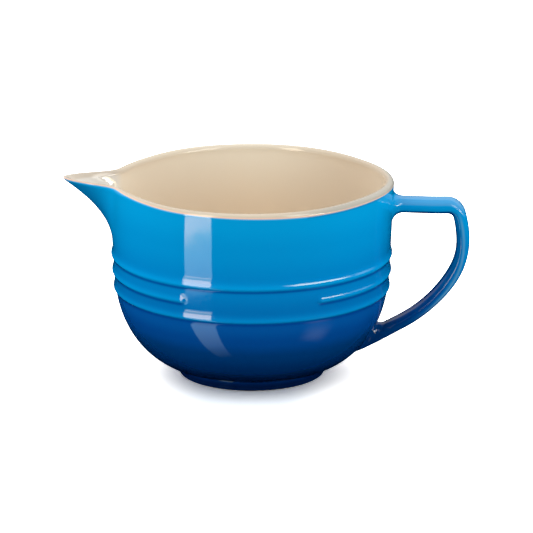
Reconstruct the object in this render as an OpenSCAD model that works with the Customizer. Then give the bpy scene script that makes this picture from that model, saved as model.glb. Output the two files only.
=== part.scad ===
// Batter bowl: a glazed stoneware mixing bowl with a pulled pouring spout and a strap handle.
// Sizes are in millimetres and angles in degrees. The spout points to -X, the handle to +X and up is +Z.
// The origin is under the middle of the whole object's box, on the plane that it stands on.

/* [Bowl] */
// Outer radius of the lip, glaze included
lip_r = 85; // [80:0.5:90]
// Height of the lip's top above the table
bowl_h = 119.4; // [113:0.2:126]
// Thickness of the rounded lip
lip_t = 5.4; // [4.6:0.1:6.4]
// How far the lip stands out past the wall just under it
lip_bead = 0.3; // [0.1:0.05:0.6]
// How far the lip stands in past the wall just under it
lip_bead_in = 0.1; // [0.05:0.05:0.4]
// Lean of the wall outwards from upright, in degrees
wall_lean = 2.8; // [1.5:0.1:4]
// Height where the belly's curve would meet the axis
belly_z = 1.1; // [0.5:0.1:2]
// Height over which the belly curves in towards the foot
belly_h = 60.9; // [52:0.5:68]
// Height of the glazed floor inside
floor_z = 9.5; // [8.5:0.1:11]

/* [Foot] */
// Outer radius of the foot, glaze included
foot_r = 43.4; // [40:0.2:47]
// Height of the foot ring
foot_h = 4; // [3:0.1:5]
// Width of the foot ring that the bowl stands on
foot_w = 7; // [5:0.5:10]
// Bevel on the foot ring's lower edges
foot_bevel = 0.6; // [0.3:0.1:1]
// Height of bare clay left at the bottom of the foot
foot_bare = 0.8; // [0.6:0.1:1.5]
// Depth of the groove where the belly meets the foot
groove_depth = 1.5; // [0.5:0.1:2]
// Height of that groove above the foot ring
groove_h = 2; // [1.5:0.1:2.5]
// Half height over which the groove fades
groove_fade = 1.2; // [0.8:0.1:1.5]

/* [Ribs] */
// Height of the top rib's crest
rib_z = 74.4; // [72:0.2:75]
// Distance from one rib's crest to the next
rib_pitch = 10.1; // [9:0.1:10.6]
// How far a rib's crest stands out
rib_relief = 1.1; // [0.6:0.1:1.6]
// Height of the gentle slope above a crest
rib_slope = 6.2; // [5:0.1:6.6]
// Height of the steep step under a crest
rib_under = 2.2; // [1.5:0.1:2.6]
// Angle of the bare band in front where the middle rib is left out
band_angle = 58; // [40:1:70]

/* [Spout] */
// How far the spout is drawn out past the lip
spout_reach = 29; // [24:0.5:34]
// How much higher the spout's tip is than the lip
spout_lift = 1; // [0:0.1:3]
// Angle of the rim that the spout takes up, in degrees
spout_angle = 31; // [27:0.5:36]
// Height from the top rib's slope to where the spout leaves the wall
spout_gap = 1.8; // [0.8:0.1:5]

/* [Handle] */
// Width of the strap, glaze included
strap_w = 17.2; // [15:0.2:20]
// Thickness of the strap, glaze included
strap_t = 7.3; // [6:0.1:9]
// Depth from the lip's top to the middle of the strap's level run
strap_drop = 16.9; // [15.5:0.1:19]
// Distance from the lip to where the strap's corner starts
level_run = 31.6; // [28:0.2:36]
// Radius of the corner, to the middle of the strap
corner_r = 8; // [6.5:0.1:11]
// Height of the middle of the strap where its long sweep ends
sweep_z = 30.3; // [28:0.1:33]
// Radius of the long sweep in to the belly, to the middle of the strap
sweep_r = 79.4; // [76:0.2:83]
// Length of the upper join from the wall to the strap
join_run = 7; // [5.5:0.5:9]
// How far the upper join spreads on the wall
join_flare = 5; // [3.5:0.1:6]
// Straight length of the tail that is pressed on to the belly
tail_run = 11; // [9:0.5:13]
// Radius of the tail's end, to the middle of the strap
tail_r = 10; // [8:0.5:12]
// How far the tail spreads to each side
tail_flare = 3.5; // [2:0.1:4.5]

/* [Glaze] */
// Thickness of the glaze coats
glaze_t = 0.4; // [0.25:0.05:0.6]

/* [Hidden] */

// Exponents of the belly's curve, outside and inside
belly_power = 2.16;
belly_round = 3.4;
inner_round = 3.9;
// Most that the wall may widen above the foot, for each millimetre of height
shoulder_share = 4;
// Exponents of the spout's keel and of the strap's oval section
keel_power = 1.95;
oval_power = 2.6;

// Turn of each of the strap's arcs, in degrees
corner_angle = 70.6;
back_angle = 49.3;
sweep_angle = 32.3;
tail_angle = 75;

// Counts of points: up the wall below the ribs, from there to the lip, and down inside
low_steps = 14;
top_steps = 7;
inner_steps = 16;
// How much the points crowd towards the foot and towards the floor
low_crowding = 1.7;
inner_crowding = 2.2;
// Places of a rib's points, as shares of the step under its crest and of the slope above it
rib_shares = [-0.75, -0.5, -0.25, 0, 0.25, 0.5, 0.75, 1];
// Counts of sections: across the spout, along the strap's arcs and along the joins
spout_steps = 26;
corner_steps = 12;
back_steps = 8;
sweep_steps = 6;
join_steps = 8;
tail_steps = 6;
// Angle between the points of the strap's oval section
oval_step = 15;

// Room past the parts that a cutting solid takes
spare = 8;
// Angle between the spout's end and the cut it sits in
cut_margin = 1.5;
// Height between the cut's floor and the spout's root
cut_drop = 0.4;
// How far the upper join goes on widening inside the wall, and how far it reaches in all
join_past = 2;
join_sink = 12;
// Gap to the belly at which the strap ends and its tail starts, and the steps of the search for it
tail_gap = 1;
search_gap = 0.25;
search_run = 40;

// Lip arc: middle of its section and its radius
lip_half = lip_t / 2;
lip_mid = [lip_r - lip_half, bowl_h - lip_half];
wall_t = lip_t - lip_bead - lip_bead_in;
lip_start = acos(1 - lip_bead / lip_half);
lip_end = acos(1 - lip_bead_in / lip_half);
arc_step = 27;
// The first two angles and the last two are under and at the lip's widest points.
// None is at its very top.
lip_angles = [-lip_start, 0, arc_step, 2 * arc_step, 3 * arc_step,
              180 - 3 * arc_step, 180 - 2 * arc_step, 180 - arc_step, 180, 180 + lip_end];

spout_z = rib_z + rib_slope + spout_gap;
spout_depth = bowl_h - spout_z;
cut_z = spout_z - cut_drop;
cut_half = spout_angle / 2 + cut_margin;
inner_h = belly_z + belly_h - floor_z;

// Angle that the coat takes up at the end of a rib
rib_end_angle = asin(glaze_t / lip_r);
// The rib crests, from the lowest up
crests = [for (k = [2, 1, 0]) rib_z - k * rib_pitch];
low_z = crests[0] - rib_under;

// Radius of the wall's straight line at height z
function line_r(z) = lip_r - lip_bead - (lip_mid[1] - z) * tan(wall_lean);
// Share of the line's radius that the belly reaches at height z
function belly(z, from, tall, roundness) =
    let (t = max(0, min(1, (z - from) / tall)))
    pow(1 - pow(1 - t, belly_power), 1 / roundness);
function groove(z) = groove_depth * exp(-pow((z - foot_h - groove_h) / groove_fade, 2));
// The wall without its ribs, which starts at the foot and may widen from there only so fast
function plain_r(z) =
    max(foot_r, min(foot_r + shoulder_share * (z - foot_h),
                    line_r(z) * belly(z, belly_z, belly_h, belly_round) - groove(z)));
function inner_r(z) = (line_r(z) - wall_t) * belly(z, floor_z, inner_h, inner_round);
// Height of one rib over the plain wall at height z
function rib(z, crest) =
    let (u = z > crest ? (z - crest) / rib_slope : (crest - z) / rib_under)
    u < 1 ? rib_relief * (1 + cos(180 * u)) / 2 : 0;
function ribs(z, skip) =
    rib(z, crests[0]) + (skip ? 0 : rib(z, crests[1])) + rib(z, crests[2]);

// Heights of the outer wall's points below the spout's cut
function low_heights() = [
    for (i = [0:low_steps]) foot_h + (low_z - foot_h) * pow(i / low_steps, low_crowding),
    for (crest = crests, s = rib_shares) crest + s * (s < 0 ? rib_under : rib_slope),
    cut_z
];
lip_foot = lip_mid[1] - lip_half * sin(lip_start);
lip_foot_in = lip_mid[1] - lip_half * sin(lip_end);
function top_height(i) = cut_z + (lip_foot - cut_z) * i / top_steps;

// The glazed surface as (radius, height), from the foot up the outside, over the lip and down to the floor
function outer_low(skip) = [for (z = low_heights()) [plain_r(z) + ribs(z, skip), z]];
function outer_top() = [for (i = [1:top_steps - 1]) [line_r(top_height(i)), top_height(i)]];
function lip(r) = [for (a = lip_angles) lip_mid + r * [cos(a), sin(a)]];
function inner_top() = [
    for (i = [top_steps - 1:-1:1]) [inner_r(top_height(i)), top_height(i)]
];
function inner_low() = [
    for (i = [inner_steps:-1:1])
        let (z = floor_z + (cut_z - floor_z) * pow(i / inner_steps, inner_crowding))
        [inner_r(z), z]
];

// The point list moved into the clay by the glaze's thickness, with its two ends moved level
function sunk(list) = [
    for (i = [0:len(list) - 1])
        let (along = list[min(i + 1, len(list) - 1)] - list[max(i - 1, 0)],
             side = [along[1], -along[0]] / norm(along),
             level = [sign(side[0]), 0])
        list[i] - glaze_t * (i == 0 || i == len(list) - 1 ? level : side)
];
function moved(list, by) = [for (p = list) p + [by, 0]];

function coat(skip) = concat(outer_low(skip), outer_top(), lip(lip_half), inner_top(),
                             inner_low());
function clay(skip) = concat(sunk(outer_low(skip)), moved(outer_top(), -glaze_t),
                             lip(lip_half - glaze_t), moved(inner_top(), glaze_t),
                             sunk(inner_low()));
coat_top = coat(false);
clay_top = clay(false);
// Places in those lists: the cut outside, the lip's first point, the change of colour on it, its top
// and the cut inside
i_cut = len(low_heights()) - 1;
i_lip = i_cut + top_steps;
i_line = i_lip + 1;
i_crown = i_lip + 4;
i_cut_in = i_lip + len(lip_angles) - 1 + top_steps;
// First and last point of the middle rib
i_rib = low_steps + len(rib_shares);
i_rib_end = i_rib + len(rib_shares);

function part_of(list, from, to) = [for (i = [from:to]) list[i]];
function turned(list) = [for (i = [len(list) - 1:-1:0]) list[i]];

// How far the spout draws a point at angle a from its middle and height z outwards
function draw_share(a, z) =
    pow(max(0, (z - spout_z) / spout_depth), keel_power)
    * (abs(a) < spout_angle / 2 ? (1 + cos(360 * a / spout_angle)) / 2 : 0);
function drawn(p, a) =
    let (s = draw_share(a, p[1]), r = p[0] + spout_reach * s)
    [-r * cos(a), -r * sin(a), p[1] + spout_lift * s];

// Points of the strap's middle line, as (X from the bowl's axis, Z)
strap_z = bowl_h - strap_drop;
function dir(a) = [sin(a), cos(a)];
angle_2 = corner_angle + back_angle;
angle_3 = angle_2 + sweep_angle;
// Radius of the strap's back, which makes up the height left between the corner and the sweep's end
back_r = (strap_z - sweep_z - corner_r * (1 - cos(corner_angle))
          - sweep_r * (cos(angle_2) - cos(angle_3))) / (cos(corner_angle) - cos(angle_2));
corner_p = [lip_r + level_run, strap_z];
corner_c = corner_p - corner_r * dir(0);
back_c = corner_c + (corner_r - back_r) * dir(corner_angle);
sweep_c = back_c + (back_r - sweep_r) * dir(angle_2);
sweep_p = sweep_c + sweep_r * dir(angle_3);
low_way = [cos(angle_3), -sin(angle_3)];
// The strap proper ends just before its inner face meets the belly
function inner_face(s) = sweep_p + s * low_way - strap_t / 2 * dir(angle_3);
low_run = min([
    for (s = [0:search_gap:search_run])
        let (q = inner_face(s)) if (q[0] - plain_r(q[1]) < tail_gap) s
]);
low_p = sweep_p + low_run * low_way;
tail_p = low_p + tail_run * low_way;
tail_c = tail_p - tail_r * dir(angle_3);
join_x = line_r(strap_z) + join_run;

// The box's ends in X, for putting the origin under its middle
handle_x = back_c[0] + back_r + strap_t / 2;
spout_x = max([for (p = coat_top) p[0] + spout_reach * draw_share(0, p[1])]);
axis_x = (spout_x - handle_x) / 2;

$fn = 200;

// Solid of turned clay or glaze from a list of (radius, height), over a range of angles from the front
module lathe(list, from, angle) {
    rotate([0, 0, from])
        rotate_extrude(angle = angle)
            polygon(list);
}

// The part of a ring in front, from the given points outwards, which takes off the middle rib there
module front_cut(surface, angle) {
    n = len(surface) - 1;
    lathe(concat(surface, [[lip_r + spare, surface[n][1]], [lip_r + spare, surface[0][1]]]),
          -90 - angle / 2, angle);
}

// The space where the spout takes the wall's place
module spout_cut() {
    inside_r = inner_r(cut_z) - spare;
    lathe([[inside_r, cut_z], [lip_r + spare, cut_z], [lip_r + spare, bowl_h + spare],
           [inside_r, bowl_h + spare]], 180 - cut_half, 2 * cut_half);
}

// A solid drawn out with the spout from a closed loop of points, which runs up one side and down the other.
// From the point numbered mirrored, the facets' diagonals turn over, so that touching solids share them.
module drawn_solid(loop, mirrored) {
    m = len(loop);
    points = [
        for (k = [0:spout_steps], p = loop) drawn(p, cut_half * (2 * k / spout_steps - 1))
    ];
    sides = [
        for (k = [0:spout_steps - 1], j = [0:m - 1], half = [0, 1])
            let (a = k * m + j, b = k * m + (j + 1) % m, c = b + m, d = a + m)
            j < mirrored ? (half == 0 ? [a, b, c] : [a, c, d])
                         : (half == 0 ? [a, b, d] : [b, c, d])
    ];
    near_cap = [
        for (j = [0:m / 2 - 2], half = [0, 1])
            half == 0 ? [j, m - 1 - j, j + 1] : [j + 1, m - 1 - j, m - 2 - j]
    ];
    to_end = spout_steps * m;
    far_cap = [for (f = near_cap) [f[0] + to_end, f[2] + to_end, f[1] + to_end]];
    polyhedron(points, concat(sides, near_cap, far_cap));
}

// The coat of the spout between two places in the point lists
module drawn_coat(from, to) {
    drawn_solid(concat(part_of(coat_top, from, to), turned(part_of(clay_top, from, to))),
                to - from + 1);
}

// The strap's section, of a given thickness and width
function oval(t, w) = [
    for (a = [0:oval_step:360 - oval_step])
        [t / 2 * sign(cos(a)) * pow(abs(cos(a)), 2 / oval_power),
         w / 2 * sign(sin(a)) * pow(abs(sin(a)), 2 / oval_power)]
];

// A station is [middle point, direction of the section's outer side, how much thicker, how much wider]
function arc_stations(centre, r, from, turn, steps, wider) = [
    for (i = [1:steps])
        let (a = from + turn * i / steps) [centre + r * dir(a), dir(a), 0, wider]
];
strap_stations = concat([[[join_x, strap_z], dir(0), 0, 0], [corner_p, dir(0), 0, 0]],
                        arc_stations(corner_c, corner_r, 0, corner_angle, corner_steps, 0),
                        arc_stations(back_c, back_r, corner_angle, back_angle, back_steps, 0),
                        arc_stations(sweep_c, sweep_r, angle_2, sweep_angle, sweep_steps, 0),
                        [[low_p, dir(angle_3), 0, 0]]);

// Points of the oval sections at the stations, cut thinner all round by the inset
function rings(stations, inset) = [
    for (s = stations)
        for (q = oval(strap_t + s[2] - 2 * inset, strap_w + s[3] - 2 * inset))
            let (m = s[0] + q[0] * s[1]) [m[0], q[1], m[1]]
];
ring_n = len(oval(strap_t, strap_w));
// Faces between rings of points that start at the given number
function ring_sides(count, start) = [
    for (k = [0:count - 2], j = [0:ring_n - 1], half = [0, 1])
        let (a = start + k * ring_n + j, b = start + k * ring_n + (j + 1) % ring_n)
        half == 0 ? [a, b, b + ring_n] : [a, b + ring_n, a + ring_n]
];
function flipped(faces) = [for (f = faces) [f[0], f[2], f[1]]];

// A solid bar through the stations
module swept(stations, inset) {
    count = len(stations);
    near_end = [for (j = [ring_n - 1:-1:0]) j];
    far_end = [for (j = [0:ring_n - 1]) (count - 1) * ring_n + j];
    polyhedron(rings(stations, inset), concat(ring_sides(count, 0), [near_end, far_end]));
}

// A sleeve between the full sections and the inset ones
module sleeve(stations, inset) {
    count = len(stations);
    all = count * ring_n;
    ends = [
        for (k = [0, count - 1], j = [0:ring_n - 1], half = [0, 1])
            let (a = k * ring_n + j, b = k * ring_n + (j + 1) % ring_n,
                 face = half == 0 ? [a, a + all, b + all] : [a, b + all, b])
            k == 0 ? face : [face[0], face[2], face[1]]
    ];
    polyhedron(concat(rings(stations, 0), rings(stations, inset)),
               concat(ring_sides(count, 0), flipped(ring_sides(count, all)), ends));
}

// The join of clay that spreads as it nears the wall and ends inside it
module upper_loft() {
    widening = join_run + join_past;
    swept([
        for (k = [0:join_steps + 1])
            let (d = k > join_steps ? join_run + join_sink : widening * k / join_steps,
                 wider = 2 * join_flare * pow(min(d, widening) / join_run, 2))
            [[join_x - d, strap_z], [0, -1], wider, wider]
    ], 0);
}

// The tail of the strap, which spreads sideways on the belly and then turns up into it
module lower_loft() {
    wider = 2 * tail_flare;
    swept(concat(
        [for (k = [0:tail_steps])
            [low_p + tail_run * k / tail_steps * low_way, dir(angle_3), 0,
             wider * (1 - cos(180 * k / tail_steps)) / 2]],
        arc_stations(tail_c, tail_r, angle_3, tail_angle, join_steps, wider)), 0);
}

// The clay bowl filled solid, which the joins are cut back from
module clay_envelope() {
    lathe(concat([[0, foot_h]], part_of(clay_top, 0, i_crown), [[0, clay_top[i_crown][1]]]),
          0, 360);
}

module bowl_wall() {
    color("Wheat")
        translate([axis_x, 0, 0])
            difference() {
                lathe(concat([[0, foot_h]], clay_top, [[0, floor_z - glaze_t]]), 0, 360);
                spout_cut();
                front_cut(part_of(clay(true), i_rib, i_rib_end), band_angle + 2 * rib_end_angle);
            }
}

module foot_ring() {
    clay_r = foot_r - glaze_t;
    color("Tan")
        translate([axis_x, 0, 0])
            lathe([[foot_r - foot_w + foot_bevel, 0], [clay_r - foot_bevel, 0],
                   [clay_r, foot_bevel], [clay_r, foot_h], [foot_r - foot_w, foot_h],
                   [foot_r - foot_w, foot_bevel]], 0, 360);
}

module spout_wall() {
    color("Wheat")
        translate([axis_x, 0, 0])
            drawn_solid(part_of(clay_top, i_cut, i_cut_in), i_cut_in);
}

module handle_strap() {
    color("Tan")
        translate([axis_x, 0, 0])
            swept(strap_stations, glaze_t);
}

module upper_join() {
    color("SteelBlue")
        translate([axis_x, 0, 0])
            difference() {
                upper_loft();
                clay_envelope();
            }
}

module lower_join() {
    color("MidnightBlue")
        translate([axis_x, 0, 0])
            difference() {
                lower_loft();
                clay_envelope();
            }
}

module inner_glaze() {
    last = len(coat_top) - 1;
    color("Cornsilk")
        translate([axis_x, 0, 0])
            difference() {
                lathe(concat(part_of(coat_top, i_line, last), [[0, floor_z], [0, floor_z - glaze_t]],
                             turned(part_of(clay_top, i_line, last))), 0, 360);
                spout_cut();
            }
}

// The coat and the middle rib's clay are one turned ring first, and the clay is then taken out of it
module outer_glaze() {
    ring = concat(part_of(coat_top, 0, i_line), turned(part_of(clay(true), 0, i_line)));
    rib_clay = part_of(clay_top, i_rib, i_rib_end);
    last = len(rib_clay) - 1;
    inside_r = rib_clay[0][0] - spare;
    color("RoyalBlue")
        translate([axis_x, 0, 0])
            difference() {
                lathe(ring, 0, 360);
                spout_cut();
                front_cut(part_of(coat(true), i_rib, i_rib_end), band_angle);
                lathe(concat(rib_clay, [[inside_r, rib_clay[last][1]], [inside_r, rib_clay[0][1]]]),
                      -90 + band_angle / 2 + rib_end_angle,
                      360 - band_angle - 2 * rib_end_angle);
                upper_loft();
                lower_loft();
            }
}

module spout_inner_glaze() {
    color("Cornsilk")
        translate([axis_x, 0, 0])
            drawn_coat(i_line, i_cut_in);
}

module spout_outer_glaze() {
    color("RoyalBlue")
        translate([axis_x, 0, 0])
            drawn_coat(i_cut, i_line);
}

module handle_glaze() {
    color("DodgerBlue")
        translate([axis_x, 0, 0])
            sleeve(strap_stations, glaze_t);
}

module foot_glaze() {
    color("MidnightBlue")
        translate([axis_x, 0, 0])
            lathe([[foot_r - glaze_t, foot_bare], [foot_r, foot_bare], [foot_r, foot_h],
                   [foot_r - glaze_t, foot_h]], 0, 360);
}

bowl_wall();
foot_ring();
spout_wall();
handle_strap();
upper_join();
lower_join();
inner_glaze();
outer_glaze();
spout_inner_glaze();
spout_outer_glaze();
handle_glaze();
foot_glaze();
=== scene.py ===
"""Batter bowl: a glazed stoneware mixing bowl with a drawn spout, a strap handle and three ribs.

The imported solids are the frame. The glaze coats, the clay under them and the handle are surfaces worked
out here from the same sizes, in metres, with the bowl's axis upright at AXIS_X. The spout points to -X.
"""

import math

import bpy
import numpy as np
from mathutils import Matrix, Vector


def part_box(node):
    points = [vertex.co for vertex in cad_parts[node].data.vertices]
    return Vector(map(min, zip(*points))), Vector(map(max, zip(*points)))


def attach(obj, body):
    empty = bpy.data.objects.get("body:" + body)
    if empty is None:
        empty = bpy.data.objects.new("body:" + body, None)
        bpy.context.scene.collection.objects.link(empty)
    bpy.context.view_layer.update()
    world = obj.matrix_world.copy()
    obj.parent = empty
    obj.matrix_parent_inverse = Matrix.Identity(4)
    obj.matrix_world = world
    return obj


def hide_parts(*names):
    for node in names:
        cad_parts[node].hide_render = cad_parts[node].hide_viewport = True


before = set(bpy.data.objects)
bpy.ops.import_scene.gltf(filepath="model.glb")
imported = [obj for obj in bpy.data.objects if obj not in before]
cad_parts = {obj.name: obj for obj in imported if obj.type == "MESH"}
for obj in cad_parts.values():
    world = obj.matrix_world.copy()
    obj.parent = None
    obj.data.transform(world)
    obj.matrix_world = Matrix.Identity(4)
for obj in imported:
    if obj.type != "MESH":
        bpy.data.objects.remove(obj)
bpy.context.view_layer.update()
foot_low, foot_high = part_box("foot_ring")

MM = 0.001
AXIS_X = (foot_low.x + foot_high.x) / 2

# Lip: outer radius, height of its top, half its thickness, and how far it stands in from the inner wall
LIP_R = 85 * MM
BOWL_H = 119.4 * MM
LIP_HALF = 2.7 * MM
LIP_BEAD_IN = 0.1 * MM

# Wall: lean from upright, and how far the lip stands out from its line. It is so little that the outer wall
# runs into the lip's round without a step.
WALL_LEAN = math.radians(2.8)
LIP_BEAD = LIP_HALF * (1 - math.cos(WALL_LEAN))

# Belly: height where its curve would close, height over which it bends, and the powers of the curve for the
# height and, outside and inside, for the radius
BELLY_Z = 1.1 * MM
BELLY_H = 60.9 * MM
BELLY_POWER = 2.16
BELLY_ROUND = 3.4
INNER_ROUND = 3.9

# Height of the inside's floor, and thickness of the glaze
FLOOR_Z = 9.5 * MM
GLAZE_T = 0.4 * MM

# Foot: radius, height and bare clay at its bottom. Groove over it: depth, height above the foot and run.
FOOT_R = 43.4 * MM
FOOT_H = 4 * MM
FOOT_BARE = 0.4 * MM
GROOVE_DEPTH = 1.5 * MM
GROOVE_H = 2 * MM
GROOVE_FADE = 1.2 * MM

# Ribs: heights of the crests, how far they stand out, and how far they reach above and under a crest
RIB_CRESTS = (74.4 * MM, 64.3 * MM, 54.2 * MM)
RIB_RELIEF = 1.1 * MM
RIB_SLOPE = 6.2 * MM
RIB_UNDER = 2.2 * MM
# The rib that stops in front: its number, half the angle of its bare place, the length of its fading ends,
# how many such lengths sooner it fades away from its crest, and how many inside the bare place its lines of
# thin and pooled glaze, with their painted highlight and painted shade, start
MIDDLE_RIB = 1
BAND_HALF = math.radians(29)
RIB_END_LENGTH = 2.2 * MM
RIB_END_ROUND = 0.8
RIB_END_LEAD = 0.5

# Spout: reach, lift, half its angle, power of its outline, height of its root and power of its keel
SPOUT_REACH = 29.02 * MM
SPOUT_LIFT = 0.96 * MM
SPOUT_HALF = math.radians(24.5)
SPOUT_POWER = 3
SPOUT_Z = 82.4 * MM
KEEL_POWER = 1.95

# Where the rim is drawn in beside the spout and beside the handle: depth, angle from the spout, width
PINCHES = (
    (2.15 * MM, math.radians(36), math.radians(17)),
    (2.85 * MM, math.radians(143), math.radians(23.6)),
)

# Angle up the lip at which blue turns to cream, at angles from the spout, all in degrees, and over how many
# steps of how many degrees the line is rounded off
BORDER = ((0, 66), (6, 46), (12, 43), (17, 53), (24, 44), (36, 31), (60, 19), (90, 6), (120, -6), (180, -8))
BORDER_WINDOW = 9
BORDER_STEP = 2.0

# Strap: width, thickness, height of its middle line at the wall and power of its oval section
STRAP_W = 17.2 * MM
STRAP_T = 7.34 * MM
STRAP_Z = 103.55 * MM
OVAL_POWER = 2.6
# Its path: length and fall of the first run, radius and turn of the corner, the back and the sweep, the last
# straight run, the length over which they flow into each other, and the step between points
LEVEL_RUN = 31.66 * MM
RUN_TURN = math.radians(2)
CORNER_R = 8 * MM
CORNER_TURN = math.radians(70.6)
BACK_R = 43.58 * MM
BACK_TURN = math.radians(49.3)
SWEEP_R = 79.4 * MM
SWEEP_TURN = math.radians(32.3)
LAST_RUN = 30 * MM
BLEND = 5 * MM
PATH_STEP = 0.4 * MM
# Swells of its inner side and of its outer side: height, place and run along it
SWELLS_IN = ((0.85 * MM, 51 * MM, 12 * MM),)
SWELLS_OUT = ((0.9 * MM, 35 * MM, 7 * MM), (0.65 * MM, 82 * MM, 17 * MM), (0.35 * MM, 140 * MM, 11 * MM))
# How much thicker its first run is, and the step along it that ends this
RUN_SWELL = 1.6 * MM
RUN_SWELL_END = (LEVEL_RUN - 8 * MM, 18 * MM)
# Upper root: length that it takes of the path, and how far it spreads up, down and sideways on the wall
TOP_RUN = 5.5 * MM
TOP_SPREAD_UP = 4.3 * MM
TOP_SPREAD_DOWN = 6.4 * MM
TOP_SPREAD_SIDE = 6.4 * MM
# Lower root: length that it takes of the path, how far the sections lean over towards it and over what
# length, how far it spreads sideways, and its upper and lower height on the belly
LOW_END = 12.5 * MM
LOW_SLANT = 9 * MM
LOW_SLANT_RUN = 26 * MM
LOW_SPREAD_SIDE = 4.6 * MM
LOW_TOP = 31.5 * MM
LOW_FOOT = 8 * MM
# Reach of both roots' curves, and how far a root line and the row behind it lie under the wall
TOP_REACH = 1.15
LOW_REACH = 1.1
ROOT_UNDER = 0.04 * MM
ROOT_SUNK = 1.2 * MM

# Columns of points on the spout and round the rest of the bowl, where they part, and columns round the
# strap's section
SPOUT_COLUMNS = 101
OTHER_COLUMNS = 341
NEAR_SPOUT = math.radians(18)
SECTION_COLUMNS = 96
# Height under which the outer rows are spaced for the foot's groove, and crowding of the inner rows
LOW_Z = 12 * MM
FLOOR_CROWDING = 1.9
# Height over which what lies behind the inside comes up beside it, and where the blue coat's underside
# leaves the lip, as an angle on its section and as a height under the lip
FLOOR_BEND = 30 * MM
UNDER_LIP_END = -math.pi / 6
UNDER_LIP_GAP = 1 * MM
# Angle between two faces over which an edge stays sharp
SHARP_EDGE = math.radians(50)

# The masks for the glazes' colours follow. A pair is a step: where it starts, and the run up to 1.

# Runs of the thin glaze above and under a crest, of the pool under it and of the pool over the foot. The thin
# glaze is partly a painted highlight, and the pools are partly painted shade.
THIN_LIGHT_ABOVE = 2.2 * MM
THIN_LIGHT_UNDER = 1.2 * MM
POOL_SHADE_RUN = 0.95 * MM
FOOT_POOL_SHADE_RUN = 2 * MM
# Distance in millimetres that stands for being far from the border
NO_BORDER_MM = 100.0
# Painted shade under the spout: by how much the surface faces down, and by height
OVERHANG = (0.05, 0.5)
OVERHANG_Z = (SPOUT_Z, 12 * MM)
# Painted shade on the lip, in grey: where it ends on the way over the lip, and how much less there is at the
# back, by angle
LIP_SHADE_END = (0.75, 0.25)
BACK_LIP = (0.3, 0.5)
BACK_LIP_LESS = 0.4
# Lip turned away from the light: by angle, its share at the back, and where it ends on the way over the lip
LIP_AWAY = (0.1, 0.6)
LIP_AWAY_BACK = 0.3
LIP_AWAY_END = (0.38, 0.25)
# Cream in the spout, and painted shade on the inside to both sides, by distance from the axis, and that
# shade's share on the spout's side
IN_SPOUT = (77 * MM, 5.5 * MM)
SIDE_SHADE = (0, 70 * MM)
SIDE_SHADE_SPOUT_SIDE = 0.4
# Across the strap, places go from -1 at its inner side to 1 at its outer side. Its dark inner side is painted
# shade where it faces the bowl: the edge across it, how much further in that edge starts, the step along the
# strap that ends this, the softness of the edge, and the lengths over which the dark comes and goes at the
# strap's two ends
DARK_EDGE = 0.02
DARK_EDGE_IN = 0.32
DARK_EDGE_MOVE = (26 * MM, 14 * MM)
DARK_SOFT = 0.5
DARK_COMES = 16 * MM
DARK_GOES = 24 * MM
# Painted shade on its underside: by how much it faces down, and how dark it is
UNDERSIDE = (0.3, 0.5)
UNDERSIDE_DARK = 1.7
# Its painted highlight line: places along the strap and across it, width across it, and the steps that start
# and end it
LINE_ALONG = (60 * MM, 76 * MM, 94 * MM, 120 * MM)
LINE_ACROSS = (0.04, 0.26, 0.38, 0.45)
LINE_WIDTH = 0.16
LINE_START = (36 * MM, 12 * MM)
LINE_END = (92 * MM, 26 * MM)
# The paler part of its back: height, run and step across the strap
PALER_Z = 50 * MM
PALER_RUN = 12 * MM
PALER_ACROSS = (-0.3, 0.6)
# The painted sheen on the upper side of its first run: by how much it faces up, where it ends along the
# strap, and the part of the upper root that it leaves out at the wall, as a share of the rest of the root
UPPER_SIDE = (0.2, 0.35)
UPPER_SIDE_END = (34 * MM, 14 * MM)
OFF_WALL = 0.2

# Heights in millimetres and the glazes' screen colours there, from the foot up
BLUE_FADE = (
    (0, (3, 30, 78)), (6, (0, 20, 56)), (12, (1, 31, 75)), (20, (0, 47, 103)),
    (30, (0, 56, 114)), (40, (1, 68, 139)), (50, (2, 80, 153)), (58, (0, 108, 175)),
    (76, (0, 127, 193)), (96, (0, 139, 201)), (114, (1, 149, 208)),
)
CREAM_FADE = ((0, (226, 209, 184)), (74, (226, 209, 185)), (116, (229, 220, 201)))
# What is laid over the fades, in turn: mask, strength and screen colour
BLUE_LAYERS = (
    # Thin glaze with a painted highlight on the crests, pooled glaze with painted shade in the grooves
    ("thin", 0.34, (0, 172, 232)),
    ("pooled", 0.8, (0, 60, 138)),
    ("paler", 0.45, (10, 140, 200)),
    # A painted highlight line along the handle
    ("painted_highlight_line", 0.42, (120, 172, 190)),
    # Painted shade under the spout, and on the handle's inner side and underside
    ("painted_shade", 0.5, (0, 50, 110)),
    # A painted sheen on the handle's upper side
    ("painted_sheen_top", 0.42, (100, 149, 188)),
    ("border", 0.5, (150, 200, 225)),
)
CREAM_LAYERS = (
    # Painted shade on the inside's walls to both sides
    ("painted_side_shade", 0.8, (199, 183, 162)),
    ("in_spout", 1.0, (209, 205, 197)),
    # Painted shade on the lip, in grey
    ("lip_painted_shade", 0.62, (176, 160, 140)),
    ("lip_away", 0.9, (170, 167, 157)),
    ("border", 0.7, (240, 190, 165)),
)
# Distances from the border in millimetres where its line starts to fade and is gone
BLUE_BORDER_MM = (0.1, 0.9)
CREAM_BORDER_MM = (0.35, 1.1)
# Unevenness of the fades in millimetres, least roughness, refraction, and height of the surface's waves
BLUE_UNEVEN = 2.0
CREAM_UNEVEN = 8.0
BLUE_GLOSS = 0.03
CREAM_GLOSS = 0.08
GLAZE_IOR = 1.5
GLAZE_WAVES = 0.08 * MM
# How much the glazes' roughness varies, and the shares of broad and of fine waves in the surface's height
GLOSS_RANGE = 0.05
BROAD_SHARE = 0.8
FINE_SHARE = 0.05
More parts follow.
